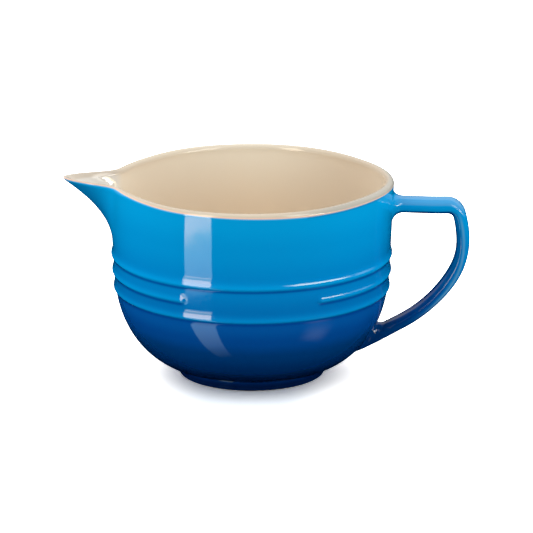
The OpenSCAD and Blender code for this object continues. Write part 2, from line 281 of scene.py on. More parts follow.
# Bare clay: its two colours and its grains' screen colour, share of the grains, least roughness, how much it
# varies, and height of its sandy surface
CLAY_LIGHT = (214, 196, 166)
CLAY_DARK = (192, 170, 138)
CLAY_GRAIN = (96, 74, 56)
GRAIN_SHARE = 0.6
CLAY_ROUGH = 0.7
CLAY_ROUGH_RANGE = 0.2
CLAY_SAND = 0.1 * MM

# Tent: strength of its light from below and from above, the steps of direction between them, and how much
# more comes from the right, from the back and from both sides
TENT_LOW = 0.8
TENT_HIGH = 1.5
TENT_RISE = (-0.35, 0.15)
TENT_SIDE = -0.02
TENT_BACK = 0.35
TENT_BOTH = 0.4
# Floor: half its side in metres, the light that it throws back, how bright the camera sees it under the bowl,
# where a bluish shadow is painted, and at both sides, the middle of that, and the distances from it where it
# starts and ends to change
FLOOR_HALF = 12.0
FLOOR_BOUNCE = (0.5, 0.5, 0.5, 1)
FLOOR_PAINTED_SHADOW = (0.65, 0.69, 0.735)
FLOOR_SIDES = (1.0, 1.0, 1.0)
FLOOR_MIDDLE_X = AXIS_X - 4 * MM
FLOOR_CHANGE = (20 * MM, 60 * MM)
# Panels: columns, tints of light, and distances from the middle in metres
PANEL_COLUMNS = 30
WARM = (1, 0.93, 0.75)
COOL = (0.8, 1, 0.95)
BELLY_TINT = (0.62, 1.0, 1.1)
STRIP_AWAY = 0.8
RIGHT_AWAY = 0.9
BACK_AWAY = 1.6
# The strip's azimuths in degrees from the camera's side, and its light in the zones that the wall reflects
STRIP_SIDES = (-54.6, -31.8)
STRIP_MIDDLE = (3.4, 4.1, 2.9)
STRIP_CREST = (7.9, 6.2, 4.2)
STRIP_BAR = (10.8, 8.7, 6.6)

LIP_MID_R = LIP_R - LIP_HALF
LIP_MID_Z = BOWL_H - LIP_HALF
# Where the lip's round meets the outer and the inner wall: angles on its section and heights
LIP_START = -math.acos(1 - LIP_BEAD / LIP_HALF)
LIP_END = math.pi + math.acos(1 - LIP_BEAD_IN / LIP_HALF)
LIP_FOOT = LIP_MID_Z + LIP_HALF * math.sin(LIP_START)
LIP_FOOT_IN = LIP_MID_Z + LIP_HALF * math.sin(LIP_END)
INNER_LIP_R = LIP_R - 2 * LIP_HALF + LIP_BEAD_IN + LIP_BEAD
INNER_H = BELLY_Z + BELLY_H - FLOOR_Z
SPOUT_DEPTH = BOWL_H - SPOUT_Z


def rise(value, start, run):
    """A step from 0 at start to 1 at start + run, with level ends: 3t^2 - 2t^3."""
    t = np.clip((value - start) / run, 0, 1)
    return t * t * (3 - 2 * t)


def bell(value, middle, width):
    """A bell curve: e to the power of minus the square of (value - middle) / width."""
    return np.exp(-(((value - middle) / width) ** 2))


def line_r(z):
    """Radius of the wall's straight, leaning line at height z."""
    return LIP_R - LIP_BEAD - (LIP_MID_Z - z) * math.tan(WALL_LEAN)


def belly(z, start, tall, roundness):
    """Share of the line's radius reached at z: (1 - (1 - t)^power)^(1/roundness), t from 0 to 1."""
    t = np.clip((z - start) / tall, 0, 1)
    return (1 - (1 - t) ** BELLY_POWER) ** (1 / roundness)


def plain_r(z):
    """Outer radius without the ribs: the belly's curve less a small bell-shaped groove over the foot."""
    groove = GROOVE_DEPTH * bell(z, FOOT_H + GROOVE_H, GROOVE_FADE)
    return np.maximum(FOOT_R, line_r(z) * belly(z, BELLY_Z, BELLY_H, BELLY_ROUND) - groove)


def inner_r(z):
    """Inner radius, glaze included: the line moved in by the lip's thickness, times the inside's belly."""
    return (line_r(z) - LIP_R + INNER_LIP_R) * belly(z, FLOOR_Z, INNER_H, INNER_ROUND)


def past_end(angle):
    """Distance past the end of the bare place in front, in lengths of the middle rib's ends."""
    return (np.abs(angle - np.pi / 2) - BAND_HALF) * LIP_R / RIB_END_LENGTH


def ribs(angle, z):
    """Height of the ribs over the wall: a half cosine wave, long above each crest and short under it.

    Above the crest its share u is bent to 2u / (1 + u), so the flank is steepest near the crest. The middle
    rib fades out in front over RIB_END_LENGTH, sooner away from its crest, so its ends are round.
    """
    total = np.zeros(np.broadcast(angle, z).shape)
    for number, crest in enumerate(RIB_CRESTS):
        above = np.clip((z - crest) / RIB_SLOPE, 0, 1)
        u = np.minimum(np.where(z > crest, 2 * above / (1 + above), (crest - z) / RIB_UNDER), 1)
        height = RIB_RELIEF * (1 + np.cos(np.pi * u)) / 2
        if number == MIDDLE_RIB:
            height = height * rise(past_end(angle) - RIB_END_ROUND * u ** 2, -1, 1)
        total = total + height
    return total


def glaze_thinness_and_light(angle, z):
    """From 1 on a rib's crest, thin glaze with a painted highlight, to -1 in the groove under it, pooled
    glaze with painted shade.
    """
    total = np.zeros(np.broadcast(angle, z).shape)
    for number, crest in enumerate(RIB_CRESTS):
        width = np.where(z > crest, THIN_LIGHT_ABOVE, THIN_LIGHT_UNDER)
        value = bell(z, crest, width) - bell(z, crest - RIB_UNDER, POOL_SHADE_RUN)
        if number == MIDDLE_RIB:
            value = value * rise(past_end(angle), -RIB_END_LEAD, 1)
        total = total + value
    return total - bell(z, FOOT_H + GROOVE_H, FOOT_POOL_SHADE_RUN)


def drawn(angle, r, z):
    """Points of the wall with the spout drawn out of it, from the angle round the axis, radius and height.

    The spout moves a point out by SPOUT_REACH * s and up by SPOUT_LIFT * s, where s = k * c^SPOUT_POWER. Over
    its root k = ((z - SPOUT_Z) / SPOUT_DEPTH)^KEEL_POWER. Across it c falls from 1 in its middle to 0 at
    SPOUT_HALF, as (1 + cos(pi * angle / SPOUT_HALF)) / 2. Each pinch moves a point in by its depth * k * a
    bell curve.
    """
    off = np.abs(angle)
    k = (np.clip(z - SPOUT_Z, 0, None) / SPOUT_DEPTH) ** KEEL_POWER
    share = k * np.where(off < SPOUT_HALF, (1 + np.cos(np.pi * off / SPOUT_HALF)) / 2, 0) ** SPOUT_POWER
    out = r + SPOUT_REACH * share
    for depth, place, width in PINCHES:
        out = out - depth * k * bell(off, place, width)
    return np.stack([AXIS_X - out * np.cos(angle), -out * np.sin(angle), z + SPOUT_LIFT * share], -1)


def bowl_angles():
    """Angles once round the axis from the spout's middle, close together on the spout."""
    spout = np.linspace(-NEAR_SPOUT, NEAR_SPOUT, SPOUT_COLUMNS)
    rest = np.linspace(NEAR_SPOUT, 2 * np.pi - NEAR_SPOUT, OTHER_COLUMNS)[1:-1]
    return np.concatenate([spout, np.where(rest > np.pi, rest - 2 * np.pi, rest)])


def border(angle):
    """Angle up the lip's round edge at which blue turns to cream: BORDER, rounded off between its places."""
    fine = np.radians(np.arange(-200, 201, BORDER_STEP))
    places, values = np.radians(np.array(BORDER, float)).T
    line = np.interp(np.minimum(np.abs(fine), 2 * np.pi - np.abs(fine)), places, values)
    window = np.hanning(BORDER_WINDOW)
    return np.interp(angle, fine, np.convolve(line, window / window.sum(), "same"))


def lip_rows(start, end, count, radius):
    """Radii and heights of rows round the lip's section, from angle start to angle end of that section."""
    turn = start + (end - start) * np.linspace(0, 1, count)[:, None]
    return LIP_MID_R + radius * np.cos(turn), LIP_MID_Z + radius * np.sin(turn)


def through(first, *parts):
    """Heights from the first on through parts, each given by the height of its end and a number of steps."""
    rows = [first]
    for end, steps in parts:
        rows.extend(np.linspace(rows[-1], end, steps + 1)[1:])
    return np.array(rows)


def inner_heights(count):
    """Heights of rows of the inside, from the floor to under the lip, closer together near the floor."""
    return FLOOR_Z + (LIP_FOOT_IN - FLOOR_Z) * np.linspace(0, 1, count) ** FLOOR_CROWDING


def behind_inside(angle, z, depth):
    """The inside's wall moved back by a depth: outward, and towards the floor downward as well."""
    return drawn(angle, inner_r(z) + depth, z - depth * (1 - rise(z, 0, FLOOR_BEND)))


def make_mesh(name, points, quads, *fans):
    """A smooth mesh of quads, with fans of triangles to single points, turned so that its faces look out."""
    triangles = np.concatenate([np.zeros((0, 3), int), *fans]).astype(np.int32)
    loops = np.concatenate([quads.ravel(), triangles.ravel()]).astype(np.int32)
    totals = np.concatenate([np.full(len(quads), 4), np.full(len(triangles), 3)]).astype(np.int32)
    starts = np.concatenate([[0], np.cumsum(totals)[:-1]]).astype(np.int32)
    mesh = bpy.data.meshes.new(name)
    mesh.vertices.add(len(points))
    mesh.vertices.foreach_set("co", points.astype(np.float32).ravel())
    mesh.loops.add(len(loops))
    mesh.loops.foreach_set("vertex_index", loops)
    mesh.polygons.add(len(totals))
    mesh.polygons.foreach_set("loop_start", starts)
    mesh.polygons.foreach_set("loop_total", totals)
    mesh.polygons.foreach_set("use_smooth", np.ones(len(totals), bool))
    mesh.update(calc_edges=True)
    mesh.validate()
    if signed_volume(points, quads, triangles) < 0:
        mesh.flip_normals()
    mesh.set_sharp_from_angle(angle=SHARP_EDGE)
    obj = bpy.data.objects.new(name, mesh)
    bpy.context.scene.collection.objects.link(obj)
    return obj


def signed_volume(points, quads, triangles):
    """Volume inside a closed mesh, negative where its faces look in: a sixth of the sum of a . (b x c)."""
    t = np.concatenate([quads[:, [0, 1, 2]], quads[:, [0, 2, 3]], triangles])
    a, b, c = points[t[:, 0]], points[t[:, 1]], points[t[:, 2]]
    return float(np.einsum("ij,ij->i", a, np.cross(b, c)).sum()) / 6


def ring_quads(rows, columns, closed=False):
    """Quads between neighbouring closed rows of points and, where closed, from the last row to the first."""
    i, j = np.meshgrid(np.arange(rows if closed else rows - 1), np.arange(columns), indexing="ij")
    row, next_row = i * columns, (i + 1) % rows * columns
    next_j = (j + 1) % columns
    return np.stack([row + j, row + next_j, next_row + next_j, next_row + j], -1).reshape(-1, 4)


def fan(row_start, columns, centre, flip):
    """Triangles from a closed row of points to one centre point."""
    j = np.arange(columns)
    a, b = row_start + j, row_start + (j + 1) % columns
    c = np.full(columns, centre)
    return np.stack([b, a, c] if flip else [a, b, c], -1)


def capped_mesh(name, rows, first, last):
    """A mesh of closed rows of points, with the first and the last row closed by fans to a point each."""
    count, columns = rows.shape[:2]
    n = count * columns
    points = np.concatenate([rows.reshape(-1, 3), [first, last]])
    fans = fan(0, columns, n, True), fan(n - columns, columns, n + 1, False)
    return make_mesh(name, points, ring_quads(count, columns), *fans)


def attribute(obj, name, values, rest=0.0):
    """Stores a number per point of a piece, for its material. Points past the end of values get rest."""
    values = np.ravel(values)
    values = np.append(values, np.full(len(obj.data.vertices) - len(values), rest))
    layer = obj.data.attributes.new(name, "FLOAT", "POINT")
    layer.data.foreach_set("value", values.astype(np.float32))


def facing(obj):
    """Upward part of each point's normal, from 1 where the surface faces up to -1 where it faces down."""
    normals = np.empty(len(obj.data.vertices) * 3, np.float32)
    obj.data.vertices.foreach_get("normal", normals)
    return normals[2::3]


def arc_distance(rows):
    """Distance in millimetres of each point from its column's last row, along the column."""
    steps = np.linalg.norm(np.diff(rows, axis=0), axis=-1)
    back = np.cumsum(steps[::-1], axis=0)[::-1]
    return np.concatenate([back, np.zeros((1, rows.shape[1]))]) / MM


def outer_glaze_coat():
    """Blue coat: outer surface r = plain_r + ribs, then up the lip to the border, and a plain underside.

    The underside is the same wall without ribs, one glaze thickness in, with few rows.
    """
    angle = ANGLES[None, :]
    low, high = RIB_CRESTS[2] - RIB_UNDER, RIB_CRESTS[0] + RIB_SLOPE
    z = through(FOOT_BARE, (FOOT_H, 3), (LOW_Z, 15), (low, 25), (high, 71), (LIP_FOOT, 23))[:-1, None]
    wall = drawn(angle, plain_r(z) + ribs(angle, z), z)
    lip = drawn(angle, *lip_rows(LIP_START, border(angle), 9, LIP_HALF))
    under_lip = drawn(angle, *lip_rows(border(angle), UNDER_LIP_END, 4, LIP_HALF - GLAZE_T))
    under_top = LIP_FOOT - UNDER_LIP_GAP
    under_z = through(under_top, (RIB_CRESTS[2], 11), (LOW_Z, 11), (FOOT_H, 16), (FOOT_BARE, 1))[:, None]
    under = drawn(angle, plain_r(under_z) - GLAZE_T, under_z)
    rows = np.concatenate([wall, lip, under_lip, under])
    count, columns = rows.shape[:2]
    obj = make_mesh("outer_glaze_coat", rows.reshape(-1, 3), ring_quads(count, columns, closed=True))
    shown = len(wall) + len(lip)
    edge = np.full((count, columns), NO_BORDER_MM)
    edge[:shown] = arc_distance(rows[:shown])
    # Thin glaze with a painted highlight on the crests, pooled glaze with painted shade in the grooves
    attribute(obj, "thinness_and_light", glaze_thinness_and_light(angle, z))
    attribute(obj, "to_border_mm", edge)
    # Painted shade where the wall under the spout faces down
    attribute(obj, "painted_shade", rise(-facing(obj), *OVERHANG) * rise(rows[..., 2].ravel(), *OVERHANG_Z))
    return obj


def inner_glaze_coat():
    """Cream coat: from the border over the lip, down the inside and over the floor to its middle.

    The floor's height falls from the wall's last row with the fourth power of the share of its radius.
    """
    angle = ANGLES[None, :]
    lip = drawn(angle, *lip_rows(border(angle), LIP_END, 22, LIP_HALF))
    z = inner_heights(60)[::-1][1:-1, None]
    wall = drawn(angle, inner_r(z), z)
    shares = np.linspace(0.9, 0.1, 8)[:, None]
    floor_rows = drawn(angle, inner_r(z[-1]) * shares, FLOOR_Z + (z[-1] - FLOOR_Z) * shares ** 4)
    top = np.concatenate([lip, wall, floor_rows])
    under_z = inner_heights(18)[1:, None]
    under_floor = drawn(angle, inner_r(under_z[:1]) / 2, FLOOR_Z - GLAZE_T)
    under_lip = drawn(angle, *lip_rows(LIP_END, border(angle), 8, LIP_HALF - GLAZE_T))
    rows = np.concatenate([under_floor, behind_inside(angle, under_z, GLAZE_T), under_lip, top])
    obj = capped_mesh("inner_glaze_coat", rows, (AXIS_X, 0, FLOOR_Z - GLAZE_T), (AXIS_X, 0, FLOOR_Z))
    edge = np.full(rows.shape[:2], NO_BORDER_MM)
    edge[-len(top):] = arc_distance(top[::-1])[::-1]
    attribute(obj, "to_border_mm", edge, NO_BORDER_MM)
    over_lip = np.linspace(0, 1, len(lip))[:, None]
    # Painted shade on the lip, in grey, less at the back
    lip_shade = (1 - rise(over_lip, *LIP_SHADE_END)) * (1 - BACK_LIP_LESS * rise(-np.sin(angle), *BACK_LIP))
    away = rise(np.maximum(-np.cos(angle), -LIP_AWAY_BACK * np.sin(angle)), *LIP_AWAY)
    away = away * (1 - rise(over_lip, *LIP_AWAY_END))
    for name, mask in (("lip_painted_shade", lip_shade), ("lip_away", away)):
        values = np.zeros(rows.shape[:2])
        values[-len(top):len(lip) - len(top)] = mask
        attribute(obj, name, values)
    off_axis = rows[..., 0] - AXIS_X
    in_spout = rise(-off_axis, *IN_SPOUT) * (rows[..., 2] > SPOUT_Z) * (np.abs(angle) < SPOUT_HALF)
    attribute(obj, "in_spout", in_spout)
    # Painted shade on the inside to both sides, less on the spout's side
    spout_side = SIDE_SHADE_SPOUT_SIDE * rise(-off_axis, *SIDE_SHADE) * (1 - in_spout)
    attribute(obj, "painted_side_shade", rise(off_axis, *SIDE_SHADE) + spout_side)
    return obj


def bowl_clay():
    """The fired clay between the coats: the plain wall, the lip, the inside and the flat base on the foot."""
    angle = ANGLES[::2][None, :]
    depth = 2 * GLAZE_T
    z = through(FOOT_H, (LOW_Z, 16), (RIB_CRESTS[2], 13), (LIP_FOOT, 15))[:, None]
    outside = drawn(angle, plain_r(z) - depth, z)
    lip = drawn(angle, *lip_rows(LIP_START, LIP_END, 10, LIP_HALF - depth))
    inside = behind_inside(angle, inner_heights(18)[::-1][1:-1, None], depth)
    rows = np.concatenate([outside, lip, inside])
    return capped_mesh("bowl_clay", rows, (AXIS_X, 0, FOOT_H), (AXIS_X, 0, FLOOR_Z - depth))


def strap_path():
    """Middle line of the strap: lengths along it, its points' X and Z, and its heading down from level.

    The heading keeps still on the first run, turns at 1/radius through three arcs, and keeps still again.
    It is averaged over BLEND so that the arcs flow into each other.
    """
    corner = CORNER_TURN - RUN_TURN
    arcs = (CORNER_R * corner, BACK_R * BACK_TURN, SWEEP_R * SWEEP_TURN)
    ends = np.cumsum([LEVEL_RUN, *arcs, LAST_RUN])
    turned = np.cumsum([RUN_TURN, corner, BACK_TURN, SWEEP_TURN])
    s = np.arange(0, ends[-1], PATH_STEP)
    window = np.hanning(int(BLEND / PATH_STEP) | 1)
    heading = np.pad(np.interp(s, ends[:-1], turned), len(window) // 2, "edge")
    heading = np.convolve(heading, window / window.sum(), "valid")
    middle = (heading[1:] + heading[:-1]) / 2
    x = LIP_R + np.concatenate([[0], np.cumsum(np.cos(middle))]) * PATH_STEP
    z = STRAP_Z - np.concatenate([[0], np.cumsum(np.sin(middle))]) * PATH_STEP
    return s, x, z, heading


def oval(columns, power):
    """A unit superellipse: cos and sin raised to 2/power, signs kept. Power 2 is a circle."""
    a = np.linspace(0, 2 * np.pi, columns, endpoint=False)
    c, s = np.cos(a), np.sin(a)
    return np.sign(c) * np.abs(c) ** (2 / power), np.sign(s) * np.abs(s) ** (2 / power)


def wall_point(y, z):
    """The outer surface on the handle's side at a sideways distance y and height z, without ribs."""
    r = plain_r(z)
    return drawn(np.pi + np.arcsin(np.clip(y / r, -1, 1)), r, z)


def wall_normal(y, z):
    """Unit normal there: the cross product of the surface's steps sideways and up."""
    step = 0.05 * MM
    across = wall_point(y + step, z) - wall_point(y - step, z)
    up = wall_point(y, z + step) - wall_point(y, z - step)
    n = np.cross(across, up)
    return n / np.linalg.norm(n, axis=-1, keepdims=True)


def fillet(strap_row, strap_dir, root_y, root_z, centre_z, rows, reach):
    """Surface of cubic curves from a root line on the wall to a row of the strap, and a row sunk in the wall.

    Each curve leaves the wall along it, towards the root's middle, and arrives along the strap. Both end
    speeds are reach times the distance between its ends. The root line lies ROOT_UNDER under the wall.
    """
    normal = wall_normal(root_y, root_z)
    foot = wall_point(root_y, root_z) - normal * ROOT_UNDER
    inward = wall_point(root_y / 2, (centre_z + root_z) / 2) - foot
    inward -= normal * np.einsum("ij,ij->i", inward, normal)[:, None]
    inward /= np.linalg.norm(inward, axis=-1, keepdims=True)
    speed = np.linalg.norm(strap_row - foot, axis=-1, keepdims=True) * reach
    t = np.linspace(0, 1, rows)[:, None, None]
    from_foot = (2 * t ** 3 - 3 * t ** 2 + 1) * foot + (t ** 3 - 2 * t ** 2 + t) * speed * inward
    to_strap = (-2 * t ** 3 + 3 * t ** 2) * strap_row + (t ** 3 - t ** 2) * speed * strap_dir
    return from_foot + to_strap, foot - normal * ROOT_SUNK


def strap_rows(path, along, across, sideways):
    """Points of the strap's sections, at lengths along its path for each point, and the headings there.

    The strap is RUN_SWELL thicker on its first run. Each swell is a bell curve along the strap, whole on its
    own side and none on the other.
    """
    s, x, z, heading = path
    turn = np.interp(along, s, heading)
    thickness = STRAP_T + RUN_SWELL * (1 - rise(along, *RUN_SWELL_END))
    half = across * thickness / 2
    for side, swells in ((1, SWELLS_OUT), (-1, SWELLS_IN)):
        for height, place, run in swells:
            half = half + side * height * bell(along, place, run) * (1 + side * across) / 2
    points = np.stack([
        AXIS_X + np.interp(along, s, x) + half * np.sin(turn),
        np.broadcast_to(sideways * STRAP_W / 2, along.shape),
        np.interp(along, s, z) + half * np.cos(turn),
    ], -1)
    return points, np.stack([np.cos(turn), np.zeros_like(turn), -np.sin(turn)], -1)


def handle_glaze_coat():
    """The handle: the strap's section carried along its path, with a fillet to the wall at each end.

    Towards the lower root the sections lean over by up to LOW_SLANT each way, to face the belly.
    """
    across, sideways = oval(SECTION_COLUMNS, OVAL_POWER)
    root_up, root_side = oval(SECTION_COLUMNS, 2)
    path = strap_path()
    s = np.arange(TOP_RUN, path[0][-1] - LOW_END, PATH_STEP)
    slant = LOW_SLANT * rise(s, s[-1] - LOW_SLANT_RUN, LOW_SLANT_RUN)
    strap, forward = strap_rows(path, s[:, None] + slant[:, None] * across, across, sideways)
    top_y = root_side * (STRAP_W / 2 + TOP_SPREAD_SIDE)
    top_spread = np.where(root_up > 0, TOP_SPREAD_UP, TOP_SPREAD_DOWN)
    top_z = STRAP_Z + root_up * ((STRAP_T + RUN_SWELL) / 2 + top_spread)
    top, top_sunk = fillet(strap[0], forward[0], top_y, top_z, STRAP_Z, 22, TOP_REACH)
    low_y = root_side * (STRAP_W / 2 + LOW_SPREAD_SIDE)
    low_middle = (LOW_TOP + LOW_FOOT) / 2
    low_z = low_middle - root_up * (LOW_TOP - LOW_FOOT) / 2
    low, low_sunk = fillet(strap[-1], -forward[-1], low_y, low_z, low_middle, 30, LOW_REACH)
    rows = np.concatenate([[top_sunk], top[:-1], strap, low[:-1][::-1], [low_sunk]])
    obj = capped_mesh("handle_glaze_coat", rows, top_sunk.mean(0), low_sunk.mean(0))
    along = np.concatenate([np.full(len(top), s[0]), s, np.full(len(low), s[-1])])[:, None]
    off_wall = np.ones((len(rows), 1))
    off_wall[0] = 0
    off_wall[1:len(top), 0] = rise(np.linspace(-OFF_WALL, 1, len(top)), 0, 1)[:-1]
    shade_handle(obj, rows, along, across, off_wall)
    return obj


def shade_handle(obj, rows, along, across, off_wall):
    """Stores the handle's masks: painted shade on its inner side and underside, a painted highlight line, a
    paler back and a painted sheen on its upper side.

    along is each row's length along the strap. off_wall rises from 0 at the wall to 1 over the upper root.
    """
    # Painted shade on the inner side, which faces the bowl, and on the underside
    edge = DARK_EDGE - DARK_EDGE_IN * (1 - rise(along, *DARK_EDGE_MOVE))
    inner = rise(edge - across, 0, DARK_SOFT) * rise(along, along[0], DARK_COMES)
    inner = inner * (1 - rise(along, along[-1] - DARK_GOES, DARK_GOES))
    dark = UNDERSIDE_DARK * rise(-facing(obj), *UNDERSIDE)
    dark[:inner.size] += inner.ravel()
    # A painted highlight line along the strap
    line = bell(across, np.interp(along, LINE_ALONG, LINE_ACROSS), LINE_WIDTH)
    line = line * rise(along, *LINE_START) * (1 - rise(along, *LINE_END))
    paler = bell(rows[..., 2], PALER_Z, PALER_RUN) * rise(across, *PALER_ACROSS)
    # A painted sheen where the first run faces up
    upper = rise(facing(obj), *UPPER_SIDE)[:inner.size].reshape(inner.shape)
    attribute(obj, "thinness_and_light", [])
    attribute(obj, "painted_shade", dark)
    attribute(obj, "paler", paler)
    attribute(obj, "painted_highlight_line", line)
    attribute(obj, "painted_sheen_top", upper * off_wall * (1 - rise(along, *UPPER_SIDE_END)))
    attribute(obj, "to_border_mm", [], NO_BORDER_MM)


def group(name, inputs, outputs):
    """A new shader node group with named sockets; returns it with its input and output nodes."""
    tree = bpy.data.node_groups.new(name, "ShaderNodeTree")
    for socket, kind, value in inputs:
        tree.interface.new_socket(socket, in_out="INPUT", socket_type=kind).default_value = value
    for socket, kind in outputs:
        tree.interface.new_socket(socket, in_out="OUTPUT", socket_type=kind)
    return tree, tree.nodes.new("NodeGroupInput"), tree.nodes.new("NodeGroupOutput")


def separate(tree, vector):
    """The sockets of a vector's X, Y and Z."""
    node = tree.nodes.new("ShaderNodeSeparateXYZ")
    tree.links.new(vector, node.inputs[0])
    return node.outputs


def noise(tree, place, scale, detail):
    """Noise from 0 to 1 on coordinates, with a scale per metre."""
    node = tree.nodes.new("ShaderNodeTexNoise")
    node.inputs["Scale"].default_value = scale
    node.inputs["Detail"].default_value = detail
    tree.links.new(place, node.inputs["Vector"])
    return node.outputs["Fac"]


def math_node(tree, operation, first, second):
    """A math node; each of the two values is a socket or a number."""
    node = tree.nodes.new("ShaderNodeMath")
    node.operation = operation
    for value, socket in zip((first, second), node.inputs):
        if isinstance(value, (int, float)):
            socket.default_value = value
        else:
            tree.links.new(value, socket)
    return node.outputs[0]


def mix_colours(tree, factor, first, second):
    """Mixes two colours, each a socket or three numbers, by a socket. They are the node's inputs 6 and 7."""
    node = tree.nodes.new("ShaderNodeMix")
    node.data_type = "RGBA"
    tree.links.new(factor, node.inputs["Factor"])
    for value, socket in ((first, node.inputs[6]), (second, node.inputs[7])):
        if isinstance(value, tuple):
            socket.default_value = (*value, 1)
        else:
            tree.links.new(value, socket)
    return node.outputs[2]


def colour_ramp(tree, value, stops):
    """A colour ramp on a socket, from stops of a position and a colour."""
    node = tree.nodes.new("ShaderNodeValToRGB")
    tree.links.new(value, node.inputs[0])
    elements = node.color_ramp.elements
    while len(elements) < len(stops):
        elements.new(0.5)
    for element, (position, colour) in zip(elements, stops):
        element.position = position
        element.color = (*colour, 1)
    return node


def map_range(tree, value, before, after, kind="LINEAR"):
    """A socket taken from one pair of ends to another, and held at them."""
    node = tree.nodes.new("ShaderNodeMapRange")
    node.interpolation_type = kind
    for socket, end in zip(("From Min", "From Max", "To Min", "To Max"), (*before, *after)):
        node.inputs[socket].default_value = end
    tree.links.new(value, node.inputs["Value"])
    return node.outputs[0]


def ramp_down(tree, value, full, none):
    """1 where value is under full, falling smoothly to 0 at none."""
    return map_range(tree, value, (full, none), (1, 0), "SMOOTHSTEP")


def linear(colour):
    """A screen colour of 0 to 255 as linear light."""
    shares = (c / 255 for c in colour)
    return tuple(c / 12.92 if c <= 0.04045 else ((c + 0.055) / 1.055) ** 2.4 for c in shares)


def fade_group(name, stops):
    """Colour by height, as sprayed glazes fade into each other, with a soft unevenness in the height."""
    tree, given, out = group(name, [("Unevenness mm", "NodeSocketFloat", 1.0)],
                             [("Color", "NodeSocketColor")])
    place = tree.nodes.new("ShaderNodeTexCoord").outputs["Object"]
    drift = math_node(tree, "SUBTRACT", noise(tree, place, scale=28, detail=2), 0.5)
    drift = math_node(tree, "MULTIPLY", drift, given.outputs["Unevenness mm"])
    height = math_node(tree, "MULTIPLY", separate(tree, place)["Z"], 1 / MM)
    top = stops[-1][0]
    share = math_node(tree, "DIVIDE", math_node(tree, "ADD", height, drift), top)
    ramp = colour_ramp(tree, share, [(at / top, linear(colour)) for at, colour in stops])
    ramp.color_ramp.interpolation = "EASE"
    tree.links.new(ramp.outputs[0], out.inputs["Color"])
    return tree


def surface_group():
    """Fired glaze's surface: a gloss that varies softly, and a height of faint broad waves and fine ones."""
    tree, given, out = group("glaze_surface", [("Gloss", "NodeSocketFloat", 0.06)],
                             [("Roughness", "NodeSocketFloat"), ("Height", "NodeSocketFloat")])
    place = tree.nodes.new("ShaderNodeTexCoord").outputs["Object"]
    patchy = math_node(tree, "MULTIPLY", noise(tree, place, scale=60, detail=3), GLOSS_RANGE)
    tree.links.new(math_node(tree, "ADD", given.outputs["Gloss"], patchy), out.inputs["Roughness"])
    broad = math_node(tree, "MULTIPLY", noise(tree, place, scale=45, detail=1), BROAD_SHARE)
    fine = math_node(tree, "MULTIPLY", noise(tree, place, scale=420, detail=2), FINE_SHARE)
    tree.links.new(math_node(tree, "ADD", broad, fine), out.inputs["Height"])
    return tree


def new_material(name):
    """An empty node material with a Principled shader; returns the material, its tree and the shader."""
    material = bpy.data.materials.new(name)
    material.use_nodes = True
    return material, material.node_tree, material.node_tree.nodes["Principled BSDF"]


def place_group(tree, group_tree, socket, value):
    """A node group in a material, with one of its inputs set; returns its outputs."""
    node = tree.nodes.new("ShaderNodeGroup")
    node.node_tree = group_tree
    node.inputs[socket].default_value = value
    return node.outputs


def add_bump(tree, shader, height, distance):
    """Links a height of 0 to 1 to a shader's normal, over a distance."""
    bump = tree.nodes.new("ShaderNodeBump")
    bump.inputs["Strength"].default_value = 1.0
    bump.inputs["Distance"].default_value = distance
    tree.links.new(height, bump.inputs["Height"])
    tree.links.new(bump.outputs["Normal"], shader.inputs["Normal"])


def attribute_value(tree, name):
    """The socket of a piece's stored number."""
    node = tree.nodes.new("ShaderNodeAttribute")
    node.attribute_name = name
    return node.outputs["Fac"]


def mask_value(tree, mask, border_mm):
    """The socket of a mask: thin glaze with painted highlight, pooled glaze with painted shade, the border's
    line, or a stored number.
    """
    if mask == "thin":
        return math_node(tree, "MAXIMUM", attribute_value(tree, "thinness_and_light"), 0.0)
    if mask == "pooled":
        thickness = math_node(tree, "MULTIPLY", attribute_value(tree, "thinness_and_light"), -1.0)
        return math_node(tree, "MAXIMUM", thickness, 0.0)
    if mask == "border":
        return ramp_down(tree, attribute_value(tree, "to_border_mm"), *border_mm)
    return attribute_value(tree, mask)


def glaze(name, fade, unevenness, layers, border_mm, surface, gloss):
    """A glaze that fades by height, with its layers of colour laid over the fade in turn."""
    material, tree, shader = new_material(name)
    colour = place_group(tree, fade, "Unevenness mm", unevenness)["Color"]
    for mask, strength, shade in layers:
        factor = math_node(tree, "MULTIPLY", mask_value(tree, mask, border_mm), strength)
        colour = mix_colours(tree, factor, colour, linear(shade))
    tree.links.new(colour, shader.inputs["Base Color"])
    shader.inputs["IOR"].default_value = GLAZE_IOR
    skin = place_group(tree, surface, "Gloss", gloss)
    tree.links.new(skin["Roughness"], shader.inputs["Roughness"])
    add_bump(tree, shader, skin["Height"], GLAZE_WAVES)
    return material


def bare_stoneware():
    """Unglazed fired clay: buff with fine dark grains, matt, with a fine sandy height."""
    material, tree, shader = new_material("bare_stoneware")
    place = tree.nodes.new("ShaderNodeTexCoord").outputs["Object"]
    patch = noise(tree, place, scale=90, detail=4)
    colour = mix_colours(tree, patch, linear(CLAY_LIGHT), linear(CLAY_DARK))
    grain = ramp_down(tree, noise(tree, place, scale=1500, detail=1), full=0.30, none=0.36)
    colour = mix_colours(tree, math_node(tree, "MULTIPLY", grain, GRAIN_SHARE), colour, linear(CLAY_GRAIN))
    tree.links.new(colour, shader.inputs["Base Color"])
    add_bump(tree, shader, noise(tree, place, scale=1800, detail=3), CLAY_SAND)
    rough = math_node(tree, "ADD", math_node(tree, "MULTIPLY", patch, CLAY_ROUGH_RANGE), CLAY_ROUGH)
    tree.links.new(rough, shader.inputs["Roughness"])
    return material


def dress(obj, material, slot, *nodes):
    """Gives a piece its material and body, and hides the frame's nodes that it stands for. slot is not used.
    """
    obj.data.materials.clear()
    obj.data.materials.append(material)
    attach(obj, "root")
    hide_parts(*nodes)


